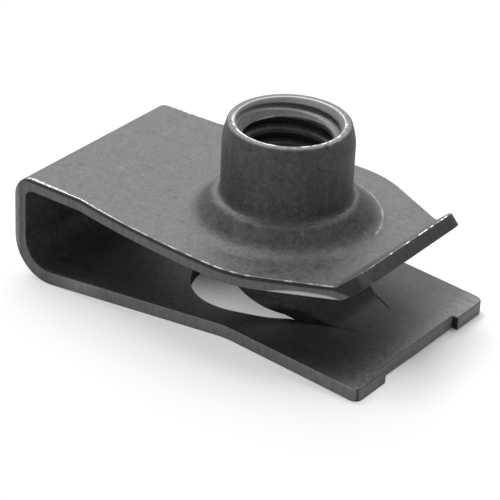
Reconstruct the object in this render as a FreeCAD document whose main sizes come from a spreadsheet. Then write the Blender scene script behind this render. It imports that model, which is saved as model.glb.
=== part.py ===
"""U clip speed nut: one strip of spring steel folded into a U, with an extruded threaded barrel.

Frame: +X points out of the open end of the throat, +Y across the strip, +Z up through the barrel.
Origin: on the thread axis, in the plane of the upper leaf's underside, where the panel seats.
All lengths are millimetres and all angles are degrees.
"""
import FreeCAD, Part
import math
import os
import Sketcher

NODE = "u_clip"

# Driving dimensions: name, value, what it is
SIZES = [
    ("sheet_thickness", 1.1, "thickness of the spring steel strip"),
    ("strip_width", 17.0, "width of the strip at the bend and of the lower leaf"),
    ("leaf_width", 19.8, "width of the upper leaf at its widest, beside the barrel"),
    ("shoulder_x", 0.6, "centre of the upper leaf's round shoulders, ahead of the thread axis"),
    ("shoulder_radius", 8.5, "radius of those shoulders"),
    ("flank_start", 13.0, "distance behind the thread axis where the upper leaf starts to widen"),
    ("flank_radius", 80.0, "radius of the gentle curve from there to the round shoulders"),
    ("neck_x", 9.3, "thread axis to the neck where the upper leaf meets the lip"),
    ("throat_depth", 18.45, "thread axis to the inner face of the back wall"),
    ("throat_gap", 4.5, "gap between the leaves at the pinch"),
    ("pinch_x", 1.0, "place of the pinch, ahead of the thread axis"),
    ("pinch_radius", 8.0, "inner radius of the gentle bend at the pinch"),
    ("upper_bend_radius", 0.8, "inner radius where the upper leaf meets the back wall"),
    ("lower_bend_radius", 2.2, "inner radius where the lower leaf meets the back wall"),
    ("rise_angle", 6.6, "rise of the lower leaf from the bend to the pinch"),
    ("fall_angle", 3.7, "fall of the lower leaf from the pinch to its free end"),
    ("lower_leaf_reach", 13.0, "thread axis to the free end of the lower leaf"),
    ("lip_start", 9.0, "thread axis to the line where the upper leaf turns up"),
    ("lip_angle", 43.0, "angle of the turned-up lead-in lip"),
    ("lip_radius", 0.8, "radius on the upper side of the lip's bend"),
    ("lip_length", 2.25, "straight length of the lip past its bend"),
    ("lip_width", 13.2, "width of the lip"),
    ("lip_corner", 1.8, "corner radius at the two ends of the lip"),
    ("dome_foot_radius", 7.0, "radius of the raised dome where it leaves the upper leaf"),
    ("dome_height", 1.85, "height of the barrel's foot above the upper leaf"),
    ("dome_side_angle", 50.0, "slope of the dome's side"),
    ("dome_foot_blend", 2.2, "radius between the dome and the upper leaf"),
    ("dome_shoulder_round", 0.45, "radius of the dome's upper edge"),
    ("barrel_radius", 4.98, "outer radius of the barrel below its taper"),
    ("barrel_height", 7.7, "height of the barrel above the upper leaf"),
    ("rim_radius", 4.68, "outer radius of the barrel at its rim"),
    ("rim_taper", 1.6, "height of the taper below the rim"),
    ("rim_round", 0.25, "radius of the rim's outer edge"),
    ("barrel_foot_blend", 0.25, "radius between the barrel and the dome"),
    ("thread_minor_radius", 3.325, "radius of the bore at the crests of the M8 x 1.25 thread"),
    ("mouth_radius", 4.15, "radius of the countersunk mouth at the rim"),
    ("mouth_depth", 0.75, "depth of the countersunk mouth"),
    ("entry_radius", 4.3, "radius of the bore's lead-in below the thread"),
    ("entry_depth", 0.8, "height of the bore's lead-in"),
    ("window_radius", 6.3, "radius of the round part of the window in the lower leaf"),
    ("window_x", 0.8, "centre of the window's round part, behind the thread axis"),
    ("window_side_angle", 25.2, "angle at which the window's sides run in to the tongue's root"),
    ("tongue_root_x", 8.5, "thread axis to the end of the window, where the tongue is rooted"),
    ("tongue_root_width", 4.4, "width of the window at the root line"),
    ("tongue_clearance", 0.1, "gap between the tongue and the window's sides"),
    ("tongue_bend_x", 7.4, "thread axis to the line where the tongue starts to bend up"),
    ("tongue_bend_radius", 2.0, "radius on the upper side of that bend"),
    ("tongue_angle", 24.7, "slope of the tongue past that bend"),
    ("tongue_curl_x", 3.16, "thread axis to the line where the tongue starts to curl up"),
    ("tongue_curl_radius", 8.9, "radius on the upper side of the curl"),
    ("tongue_tip_angle", 43.0, "slope of the tongue at its tip"),
    ("tongue_tip_x", 0.3, "end of the tongue's two horns, behind the thread axis"),
    ("tongue_tip_round", 0.6, "radius of the horns' corners"),
    ("tongue_anchor", 1.0, "length of strip past the window that carries the tongue"),
    ("screw_clearance_radius", 4.4, "radius left free for the screw through the tongue"),
    ("end_recess_width", 9.6, "width of the shallow recess in the free end of the lower leaf"),
    ("end_recess_depth", 0.5, "depth of that recess"),
    ("end_corner", 0.7, "corner radius of the lower leaf's free end"),
    ("trim_margin", 3.0, "room that a trimming cut leaves outside the strip"),
    ("cut_start", 0.5, "distance outside the metal at which a turned cut starts and ends"),
]

doc = FreeCAD.newDocument("u_clip_speed_nut")
sheet = doc.addObject("Spreadsheet::Sheet", "Sizes")
for row, (alias, value, meaning) in enumerate(SIZES, start=1):
    sheet.set(f"A{row}", meaning)
    sheet.set(f"B{row}", str(value))
    sheet.setAlias(f"B{row}", alias)
doc.recompute()
size = {alias: float(sheet.get(alias)) for alias, value, meaning in SIZES}


# Two lengths or places closer than this are the same
CLOSE = 1e-4


# Small helpers for points in a sketch

def polar(centre, radius, degrees):
    """The point at an angle on a circle."""
    angle = math.radians(degrees)
    return (centre[0] + radius * math.cos(angle), centre[1] + radius * math.sin(angle))


def tangent_angle(centre, radius, point, side):
    """Angle on the circle where a line from the point touches it; side is +1 or -1."""
    dx = point[0] - centre[0]
    dy = point[1] - centre[1]
    spread = math.degrees(math.acos(radius / math.hypot(dx, dy)))
    return math.degrees(math.atan2(dy, dx)) + side * spread


def circles_meet(first, first_radius, second, second_radius, side):
    """One of the two points that lie on both circles; side is +1 or -1."""
    dx = second[0] - first[0]
    dy = second[1] - first[1]
    apart = math.hypot(dx, dy)
    along = (apart ** 2 + first_radius ** 2 - second_radius ** 2) / (2 * apart)
    spread = math.degrees(math.acos(along / first_radius))
    return polar(first, first_radius, math.degrees(math.atan2(dy, dx)) + side * spread)


def direction(start, end):
    """Angle of the line from one point to another."""
    return math.degrees(math.atan2(end[1] - start[1], end[0] - start[0]))


class Outline:
    """A closed run of lines and arcs in one sketch, joined end to end.

    Each edge is drawn in its computed place. Its joints, radii and distances are then held by
    constraints, and each distance follows an expression on the sheet.
    """

    def __init__(self, body, name, plane_role):
        self.sketch = body.newObject("Sketcher::SketchObject", name)
        planes = body.Origin.OriginFeatures
        plane = [feature for feature in planes if feature.Role == plane_role][0]
        self.sketch.AttachmentSupport = [(plane, "")]
        self.sketch.MapMode = "FlatFace"
        self.edges = []

    def line(self, start, end):
        segment = Part.LineSegment(FreeCAD.Vector(*start, 0), FreeCAD.Vector(*end, 0))
        index = self.sketch.addGeometry(segment, False)
        self.edges.append((index, 1, 2))
        return index

    def arc(self, centre, radius, first, last):
        """An arc from angle first to angle last; it runs clockwise where last is the smaller."""
        circle = Part.Circle(FreeCAD.Vector(*centre, 0), FreeCAD.Vector(0, 0, 1), radius)
        low, high = sorted((math.radians(first), math.radians(last)))
        index = self.sketch.addGeometry(Part.ArcOfCircle(circle, low, high), False)
        start, end = (1, 2) if last > first else (2, 1)
        self.edges.append((index, start, end))
        return index

    def constrain(self, *arguments):
        return self.sketch.addConstraint(Sketcher.Constraint(*arguments))

    def join(self, smooth=(), first_edge=0):
        """Join the edges drawn since first_edge into a loop; the joints in smooth are tangent."""
        loop = self.edges[first_edge:]
        for place, (index, start, end) in enumerate(loop):
            next_index, next_start, next_end = loop[(place + 1) % len(loop)]
            kind = "Tangent" if place in smooth else "Coincident"
            self.constrain(kind, index, end, next_index, next_start)

    def drive(self, constraint, name, expression):
        """Name a constraint and let the sheet set it."""
        self.sketch.renameConstraint(constraint, name)
        self.sketch.setExpression(f"Constraints.{name}", expression)

    def radius(self, index, name, expression):
        value = self.sketch.Geometry[index].Radius
        self.drive(self.constrain("Radius", index, value), name, expression)

    def along(self, axis, index, point, name, expression):
        """Hold one coordinate of a point, as a distance from the origin."""
        place = self.sketch.getPoint(index, point)
        value = place.x if axis == "X" else place.y
        ends = (-1, 1, index, point) if value >= 0 else (index, point, -1, 1)
        self.drive(self.constrain("Distance" + axis, *ends, abs(value)), name, expression)

    def slope(self, index, name, expression, degrees):
        """Hold the angle of a line, counted from +X in the direction in which it was drawn."""
        self.drive(self.constrain("Angle", index, math.radians(degrees)), name, expression)


def add_pad(body, outline, name, length_expression):
    """A pad that grows equally to both sides of its sketch."""
    pad = body.newObject("PartDesign::Pad", name)
    pad.Profile = outline.sketch
    pad.SideType = "Symmetric"
    pad.setExpression("Length", length_expression)
    outline.sketch.Visibility = False
    return pad


DOWNWARDS, UPWARDS, BOTH_WAYS = "downwards", "upwards", "both ways"


def add_pocket(body, outline, name, way):
    """A cut through everything below its sketch, above it, or both."""
    pocket = body.newObject("PartDesign::Pocket", name)
    pocket.Profile = outline.sketch
    pocket.Type = "ThroughAll"
    pocket.SideType = "Symmetric" if way == BOTH_WAYS else "One side"
    pocket.Reversed = way == UPWARDS
    outline.sketch.Visibility = False
    return pocket


def add_turned(body, kind, outline, name):
    """A revolution or groove about the thread axis."""
    turned = body.newObject(kind, name)
    turned.Profile = outline.sketch
    turned.ReferenceAxis = (outline.sketch, ["V_Axis"])
    turned.Angle = 360.0
    outline.sketch.Visibility = False
    return turned


# The folded section, seen from the side

thickness = size["sheet_thickness"]
margin = size["trim_margin"]
rise = math.radians(size["rise_angle"])
fall = math.radians(size["fall_angle"])
pinch = (size["pinch_x"], -size["throat_gap"])


def upper_side_of_rise(x):
    """Height of the lower leaf's upper side between the bend and the pinch."""
    return pinch[1] + math.tan(rise) * (x - pinch[0])


def upper_side_of_fall(x):
    """Height of the lower leaf's upper side between the pinch and the free end."""
    return pinch[1] - math.tan(fall) * (x - pinch[0])


def draw_folded_section(body):
    """Both sides of the strip from the lip, round the bend and past the lower leaf's free end.

    The lower leaf runs on by the trimming margin, and its plan outline cuts it to length.
    """
    outline = Outline(body, "folded_section", "XZ_Plane")
    back = -size["throat_depth"]
    lip_angle = size["lip_angle"]
    lip_centre = (size["lip_start"], thickness + size["lip_radius"])
    lip_outer = size["lip_radius"] + thickness
    upper_radius = size["upper_bend_radius"]
    upper_centre = (back + upper_radius, -upper_radius)
    lower_radius = size["lower_bend_radius"]
    lower_x = back + lower_radius
    lower_centre = (lower_x, upper_side_of_rise(lower_x) + lower_radius / math.cos(rise))
    pinch_radius = size["pinch_radius"]
    half_turn = (rise + fall) / 2
    pinch_drop = (pinch_radius + thickness) / math.cos(half_turn)
    crest_angle = math.degrees(math.pi / 2 + (rise - fall) / 2)
    crest = (pinch[0], pinch[1])
    pinch_centre = polar(crest, pinch_drop, crest_angle + 180.0)
    pinch_outer = pinch_radius + thickness
    rise_normal = 90.0 + size["rise_angle"]
    fall_normal = 90.0 - size["fall_angle"]
    run = FreeCAD.Vector(math.cos(math.radians(lip_angle)), math.sin(math.radians(lip_angle)), 0)
    lip_under = polar(lip_centre, lip_outer, lip_angle - 90.0)
    lip_over = polar(lip_centre, size["lip_radius"], lip_angle - 90.0)
    length = size["lip_length"]
    lip_under_end = (lip_under[0] + run.x * length, lip_under[1] + run.y * length)
    lip_over_end = (lip_over[0] + run.x * length, lip_over[1] + run.y * length)
    past_end = size["lower_leaf_reach"] + margin
    free_over = (past_end, upper_side_of_fall(past_end))
    free_under = polar(free_over, thickness, fall_normal + 180.0)

    # Inner side, from the lip's tip back to the bend and out again along the lower leaf
    lip_face = outline.line(lip_under_end, lip_under)
    lip_under_arc = outline.arc(lip_centre, lip_outer, lip_angle - 90.0, -90.0)
    seat = outline.line((size["lip_start"], 0), (back + upper_radius, 0))
    upper_inner = outline.arc(upper_centre, upper_radius, 90.0, 180.0)
    wall_inner = outline.line((back, -upper_radius), (back, lower_centre[1]))
    lower_inner = outline.arc(lower_centre, lower_radius, 180.0, 180.0 + rise_normal)
    rise_over = outline.line(polar(lower_centre, lower_radius, 180.0 + rise_normal),
                             polar(pinch_centre, pinch_outer, rise_normal))
    pinch_over = outline.arc(pinch_centre, pinch_outer, rise_normal, fall_normal)
    fall_over = outline.line(polar(pinch_centre, pinch_outer, fall_normal), free_over)
    free_end = outline.line(free_over, free_under)

    # Outer side, back along the lower leaf, round the bend and along the upper leaf to the lip
    fall_under = outline.line(free_under, polar(pinch_centre, pinch_radius, fall_normal))
    pinch_under = outline.arc(pinch_centre, pinch_radius, fall_normal, rise_normal)
    rise_under = outline.line(polar(pinch_centre, pinch_radius, rise_normal),
                              polar(lower_centre, lower_radius + thickness, 180.0 + rise_normal))
    lower_outer = outline.arc(lower_centre, lower_radius + thickness, 180.0 + rise_normal, 180.0)
    wall_outer = outline.line((back - thickness, lower_centre[1]), (back - thickness, -upper_radius))
    upper_outer = outline.arc(upper_centre, upper_radius + thickness, 180.0, 90.0)
    top = outline.line((back + upper_radius, thickness), (size["lip_start"], thickness))
    lip_over_arc = outline.arc(lip_centre, size["lip_radius"], -90.0, lip_angle - 90.0)
    lip_top = outline.line(lip_over, lip_over_end)
    lip_tip = outline.line(lip_over_end, lip_under_end)

    corners = {8, 9, 18, 19}
    outline.join(smooth=set(range(20)) - corners)

    # Each outer arc shares its centre with the inner one
    for inner, outer in ((upper_inner, upper_outer), (lower_inner, lower_outer),
                         (pinch_over, pinch_under), (lip_over_arc, lip_under_arc)):
        outline.constrain("Coincident", inner, 3, outer, 3)
    outline.radius(upper_inner, "upper_bend", "Sizes.upper_bend_radius")
    outline.radius(upper_outer, "upper_bend_outside", "Sizes.upper_bend_radius + Sizes.sheet_thickness")
    outline.radius(lower_inner, "lower_bend", "Sizes.lower_bend_radius")
    outline.radius(lower_outer, "lower_bend_outside", "Sizes.lower_bend_radius + Sizes.sheet_thickness")
    outline.radius(pinch_under, "pinch_bend", "Sizes.pinch_radius")
    outline.radius(pinch_over, "pinch_bend_outside", "Sizes.pinch_radius + Sizes.sheet_thickness")
    outline.radius(lip_over_arc, "lip_bend", "Sizes.lip_radius")
    outline.radius(lip_under_arc, "lip_bend_outside", "Sizes.lip_radius + Sizes.sheet_thickness")

    # The seat lies on the X axis, the back wall is upright and both ends are square to the sheet
    outline.constrain("Horizontal", seat)
    outline.constrain("PointOnObject", seat, 1, -1)
    outline.constrain("Vertical", wall_inner)
    outline.constrain("Perpendicular", free_end, fall_over)
    outline.constrain("Perpendicular", lip_tip, lip_top)
    outline.constrain("Parallel", fall_over, fall_under)
    outline.constrain("Parallel", lip_top, lip_face)
    outline.along("X", wall_inner, 1, "throat_depth", "Sizes.throat_depth")
    outline.along("X", seat, 1, "lip_start", "Sizes.lip_start")
    outline.along("X", free_end, 1, "past_end", "Sizes.lower_leaf_reach + Sizes.trim_margin")
    outline.slope(rise_over, "rise", "Sizes.rise_angle", size["rise_angle"])
    outline.slope(fall_over, "fall", "-Sizes.fall_angle", -size["fall_angle"])
    outline.slope(lip_top, "lip_slope", "Sizes.lip_angle", lip_angle)
    outline.drive(outline.constrain("Distance", lip_top, length), "lip_length", "Sizes.lip_length")

    # The two slopes of the lower leaf aim at the pinch, which is a point of construction
    crest_point = outline.sketch.addGeometry(Part.Point(FreeCAD.Vector(*crest, 0)), True)
    outline.constrain("PointOnObject", crest_point, 1, rise_over)
    outline.constrain("PointOnObject", crest_point, 1, fall_over)
    outline.along("X", crest_point, 1, "pinch_place", "Sizes.pinch_x")
    outline.along("Y", crest_point, 1, "throat_gap", "Sizes.throat_gap")
    return outline


def draw_frame(outline):
    """A rectangle round the whole strip, so that a cut keeps what its inner loop holds."""
    behind = -(size["throat_depth"] + thickness + 2 * margin)
    ahead = size["lower_leaf_reach"] + 2 * margin
    side = size["leaf_width"] / 2 + 2 * margin
    corners = [(behind, -side), (ahead, -side), (ahead, side), (behind, side)]
    first = len(outline.edges)
    sides = [outline.line(corners[i], corners[(i + 1) % 4]) for i in range(4)]
    outline.join(first_edge=first)
    outline.constrain("Horizontal", sides[0])
    outline.constrain("Horizontal", sides[2])
    outline.constrain("Vertical", sides[1])
    outline.constrain("Vertical", sides[3])
    outline.along("X", sides[0], 1, "frame_behind",
                  "Sizes.throat_depth + Sizes.sheet_thickness + 2 * Sizes.trim_margin")
    outline.along("X", sides[2], 1, "frame_ahead", "Sizes.lower_leaf_reach + 2 * Sizes.trim_margin")
    outline.along("Y", sides[0], 1, "frame_near", "Sizes.leaf_width / 2 + 2 * Sizes.trim_margin")
    outline.along("Y", sides[2], 1, "frame_far", "Sizes.leaf_width / 2 + 2 * Sizes.trim_margin")


def draw_upper_outline(body):
    """Plan of the upper leaf: it widens to round shoulders and narrows to the lip's neck."""
    outline = Outline(body, "upper_leaf_outline", "XY_Plane")
    draw_frame(outline)
    half = size["strip_width"] / 2
    neck_half = size["lip_width"] / 2
    radius = size["shoulder_radius"]
    flank_radius = size["flank_radius"]
    centre = (size["shoulder_x"], size["leaf_width"] / 2 - radius)
    near_centre = (centre[0], -centre[1])
    behind = -(size["throat_depth"] + thickness + margin)
    ahead = size["lower_leaf_reach"] + margin
    flank = (-size["flank_start"], half)
    neck = (size["neck_x"], neck_half)
    flank_centre = circles_meet(centre, flank_radius - radius, flank, flank_radius, 1)
    flank_start = direction(flank_centre, flank)
    rear = direction(flank_centre, centre)
    front = tangent_angle(centre, radius, neck, 1)
    near_flank_centre = (flank_centre[0], -flank_centre[1])
    first = len(outline.edges)
    far_side = outline.line((behind, half), flank)
    far_flank = outline.arc(flank_centre, flank_radius, flank_start, rear)
    far_round = outline.arc(centre, radius, rear, front)
    far_slope = outline.line(polar(centre, radius, front), neck)
    far_neck = outline.line(neck, (ahead, neck_half))
    tip = outline.line((ahead, neck_half), (ahead, -neck_half))
    near_neck = outline.line((ahead, -neck_half), (neck[0], -neck_half))
    near_slope = outline.line((neck[0], -neck_half), polar(near_centre, radius, -front))
    near_round = outline.arc(near_centre, radius, -front, -rear)
    near_flank = outline.arc(near_flank_centre, flank_radius, -rear, -flank_start)
    near_side = outline.line((flank[0], -half), (behind, -half))
    back = outline.line((behind, -half), (behind, half))
    outline.join(smooth={1, 2, 7, 8}, first_edge=first)
    for index in (far_side, near_side, far_neck, near_neck):
        outline.constrain("Horizontal", index)
    for index in (tip, back):
        outline.constrain("Vertical", index)
    outline.along("X", far_round, 3, "far_shoulder_x", "Sizes.shoulder_x")
    outline.along("X", near_round, 3, "near_shoulder_x", "Sizes.shoulder_x")
    inset = "Sizes.leaf_width / 2 - Sizes.shoulder_radius"
    outline.drive(outline.constrain("DistanceY", -1, 1, far_round, 3, centre[1]), "far_shoulder_y", inset)
    outline.drive(outline.constrain("DistanceY", near_round, 3, -1, 1, centre[1]), "near_shoulder_y", inset)
    outline.radius(far_round, "far_shoulder", "Sizes.shoulder_radius")
    outline.radius(near_round, "near_shoulder", "Sizes.shoulder_radius")
    outline.radius(far_flank, "far_flank", "Sizes.flank_radius")
    outline.radius(near_flank, "near_flank", "Sizes.flank_radius")
    outline.along("Y", far_side, 1, "far_half", "Sizes.strip_width / 2")
    outline.along("Y", near_side, 1, "near_half", "Sizes.strip_width / 2")
    outline.along("Y", far_neck, 1, "far_neck", "Sizes.lip_width / 2")
    outline.along("Y", near_neck, 1, "near_neck", "Sizes.lip_width / 2")
    outline.along("X", far_side, 2, "far_flank_start", "Sizes.flank_start")
    outline.along("X", near_side, 1, "near_flank_start", "Sizes.flank_start")
    outline.along("X", far_neck, 1, "far_neck_place", "Sizes.neck_x")
    outline.along("X", near_slope, 1, "near_neck_place", "Sizes.neck_x")
    outline.along("X", back, 1, "back", "Sizes.throat_depth + Sizes.sheet_thickness + Sizes.trim_margin")
    outline.along("X", tip, 1, "ahead", "Sizes.lower_leaf_reach + Sizes.trim_margin")
    return outline


def draw_lower_outline(body):
    """Plan of the lower leaf: straight sides, rounded corners and a shallow recess in its end."""
    outline = Outline(body, "lower_leaf_outline", "XY_Plane")
    draw_frame(outline)
    half = size["strip_width"] / 2
    corner = size["end_corner"]
    recess = size["end_recess_width"] / 2
    end = size["lower_leaf_reach"]
    floor = end - size["end_recess_depth"]
    behind = -(size["throat_depth"] + thickness + margin)
    first = len(outline.edges)
    far_side = outline.line((behind, half), (end - corner, half))
    far_corner = outline.arc((end - corner, half - corner), corner, 90.0, 0.0)
    far_tab = outline.line((end, half - corner), (end, recess))
    far_step = outline.line((end, recess), (floor, recess))
    recess_floor = outline.line((floor, recess), (floor, -recess))
    near_step = outline.line((floor, -recess), (end, -recess))
    near_tab = outline.line((end, -recess), (end, corner - half))
    near_corner = outline.arc((end - corner, corner - half), corner, 0.0, -90.0)
    near_side = outline.line((end - corner, -half), (behind, -half))
    back = outline.line((behind, -half), (behind, half))
    outline.join(smooth={0, 1, 6, 7}, first_edge=first)
    for index in (far_side, near_side, far_step, near_step):
        outline.constrain("Horizontal", index)
    for index in (far_tab, near_tab, recess_floor, back):
        outline.constrain("Vertical", index)
    outline.radius(far_corner, "far_corner", "Sizes.end_corner")
    outline.radius(near_corner, "near_corner", "Sizes.end_corner")
    outline.along("Y", far_side, 1, "far_half", "Sizes.strip_width / 2")
    outline.along("Y", near_side, 1, "near_half", "Sizes.strip_width / 2")
    outline.along("X", far_tab, 1, "far_reach", "Sizes.lower_leaf_reach")
    outline.along("X", near_tab, 1, "near_reach", "Sizes.lower_leaf_reach")
    outline.along("X", recess_floor, 1, "recess_place", "Sizes.lower_leaf_reach - Sizes.end_recess_depth")
    outline.along("Y", far_step, 1, "far_recess", "Sizes.end_recess_width / 2")
    outline.along("Y", near_step, 1, "near_recess", "Sizes.end_recess_width / 2")
    outline.along("X", back, 1, "back", "Sizes.throat_depth + Sizes.sheet_thickness + Sizes.trim_margin")
    return outline


def side_corner(centre, radius, root_half):
    """Where a side that starts at the tongue's root meets the round part of the outline."""
    root = (size["tongue_root_x"], root_half)
    angle = math.radians(180.0 - size["window_side_angle"])
    run = (math.cos(angle), math.sin(angle))
    to_centre = (centre[0] - root[0], centre[1] - root[1])
    along = to_centre[0] * run[0] + to_centre[1] * run[1]
    apart = to_centre[0] * run[1] - to_centre[1] * run[0]
    distance = along - math.sqrt(radius ** 2 - apart ** 2)
    return (root[0] + run[0] * distance, root[1] + run[1] * distance)


def draw_window(body):
    """The opening that is left in the lower leaf where the tongue is lanced and lifted."""
    outline = Outline(body, "window_outline", "XY_Plane")
    centre = (-size["window_x"], 0.0)
    radius = size["window_radius"]
    root = size["tongue_root_x"]
    root_half = size["tongue_root_width"] / 2
    corner = side_corner(centre, radius, root_half)
    near_corner = (corner[0], -corner[1])
    turn = direction(centre, corner)
    far_side = outline.line((root, root_half), corner)
    round_end = outline.arc(centre, radius, turn, 360.0 - turn)
    near_side = outline.line(near_corner, (root, -root_half))
    root_line = outline.line((root, -root_half), (root, root_half))
    outline.join()
    side_angle = size["window_side_angle"]
    outline.constrain("Vertical", root_line)
    outline.constrain("PointOnObject", round_end, 3, -1)
    outline.radius(round_end, "round_radius", "Sizes.window_radius")
    outline.along("X", round_end, 3, "round_place", "Sizes.window_x")
    outline.along("X", root_line, 1, "root_place", "Sizes.tongue_root_x")
    outline.along("Y", far_side, 1, "far_root", "Sizes.tongue_root_width / 2")
    outline.along("Y", root_line, 1, "near_root", "Sizes.tongue_root_width / 2")
    outline.slope(far_side, "far_side", "180 - Sizes.window_side_angle", 180.0 - side_angle)
    outline.slope(near_side, "near_side", "Sizes.window_side_angle", side_angle)
    return outline


def draw_barrel_outside(body):
    """Half section of the dome and barrel, turned about the thread axis."""
    outline = Outline(body, "barrel_outside", "XZ_Plane")
    side = math.radians(size["dome_side_angle"])
    crown = thickness + size["dome_height"]
    top = thickness + size["barrel_height"]
    foot = size["dome_foot_radius"]
    shoulder = foot - size["dome_height"] / math.tan(side)
    barrel = size["barrel_radius"]
    rim = size["rim_radius"]
    taper = top - size["rim_taper"]
    axis = outline.line((0, 0), (foot, 0))
    edge = outline.line((foot, 0), (foot, thickness))
    dome_side = outline.line((foot, thickness), (shoulder, crown))
    crown_line = outline.line((shoulder, crown), (barrel, crown))
    wall = outline.line((barrel, crown), (barrel, taper))
    taper_line = outline.line((barrel, taper), (rim, top))
    rim_line = outline.line((rim, top), (0, top))
    centre_line = outline.line((0, top), (0, 0))
    outline.join()
    for index in (axis, crown_line, rim_line):
        outline.constrain("Horizontal", index)
    for index in (edge, wall, centre_line):
        outline.constrain("Vertical", index)
    outline.constrain("Coincident", axis, 1, -1, 1)
    outline.along("X", edge, 1, "foot_radius", "Sizes.dome_foot_radius")
    outline.along("Y", edge, 2, "leaf_top", "Sizes.sheet_thickness")
    outline.along("Y", crown_line, 1, "crown", "Sizes.sheet_thickness + Sizes.dome_height")
    outline.slope(dome_side, "dome_side", "180 - Sizes.dome_side_angle", 180.0 - size["dome_side_angle"])
    outline.along("X", wall, 1, "barrel_radius", "Sizes.barrel_radius")
    taper_place = "Sizes.sheet_thickness + Sizes.barrel_height - Sizes.rim_taper"
    outline.along("Y", wall, 2, "taper_place", taper_place)
    outline.along("X", rim_line, 1, "rim_radius", "Sizes.rim_radius")
    outline.along("Y", rim_line, 1, "rim_height", "Sizes.sheet_thickness + Sizes.barrel_height")
    return outline


def draw_barrel_inside(body):
    """Half section of the hollow under the dome, the bore and its countersunk mouth."""
    outline = Outline(body, "barrel_inside", "XZ_Plane")
    side = math.radians(size["dome_side_angle"])
    shift = thickness / math.sin(side)
    crown = size["dome_height"]
    top = thickness + size["barrel_height"]
    start = -size["cut_start"]
    foot = size["dome_foot_radius"] + thickness / math.tan(side) - shift
    low = foot + size["cut_start"] / math.tan(side)
    inner_crown = foot - crown / math.tan(side)
    entry = size["entry_radius"]
    bore = size["thread_minor_radius"]
    mouth = size["mouth_radius"]
    entry_end = crown + size["entry_depth"]
    mouth_start = top - size["mouth_depth"]
    over = top + size["cut_start"]
    floor_line = outline.line((0, start), (low, start))
    dome_side = outline.line((low, start), (inner_crown, crown))
    ceiling = outline.line((inner_crown, crown), (entry, crown))
    lead_in = outline.line((entry, crown), (bore, entry_end))
    wall = outline.line((bore, entry_end), (bore, mouth_start))
    countersink = outline.line((bore, mouth_start), (mouth, top))
    mouth_wall = outline.line((mouth, top), (mouth, over))
    lid = outline.line((mouth, over), (0, over))
    centre_line = outline.line((0, over), (0, start))
    outline.join()
    for index in (floor_line, ceiling, lid):
        outline.constrain("Horizontal", index)
    for index in (wall, mouth_wall, centre_line):
        outline.constrain("Vertical", index)
    outline.along("Y", floor_line, 1, "cut_start", "Sizes.cut_start")
    outline.constrain("PointOnObject", centre_line, 2, -2)
    foot_expression = ("Sizes.dome_foot_radius - Sizes.sheet_thickness / sin(Sizes.dome_side_angle)"
                       " + (Sizes.sheet_thickness + Sizes.cut_start) / tan(Sizes.dome_side_angle)")
    outline.along("X", floor_line, 2, "hollow_foot", foot_expression)
    outline.slope(dome_side, "hollow_side", "180 - Sizes.dome_side_angle", 180.0 - size["dome_side_angle"])
    outline.along("Y", ceiling, 1, "ceiling", "Sizes.dome_height")
    outline.along("X", ceiling, 2, "entry_radius", "Sizes.entry_radius")
    outline.along("X", wall, 1, "bore_radius", "Sizes.thread_minor_radius")
    outline.along("Y", wall, 1, "entry_end", "Sizes.dome_height + Sizes.entry_depth")
    mouth_place = "Sizes.sheet_thickness + Sizes.barrel_height - Sizes.mouth_depth"
    outline.along("Y", wall, 2, "mouth_start", mouth_place)
    outline.along("X", mouth_wall, 1, "mouth_radius", "Sizes.mouth_radius")
    outline.along("Y", mouth_wall, 1, "mouth_height", "Sizes.sheet_thickness + Sizes.barrel_height")
    outline.along("Y", mouth_wall, 2, "over",
                  "Sizes.sheet_thickness + Sizes.barrel_height + Sizes.cut_start")
    return outline


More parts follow.
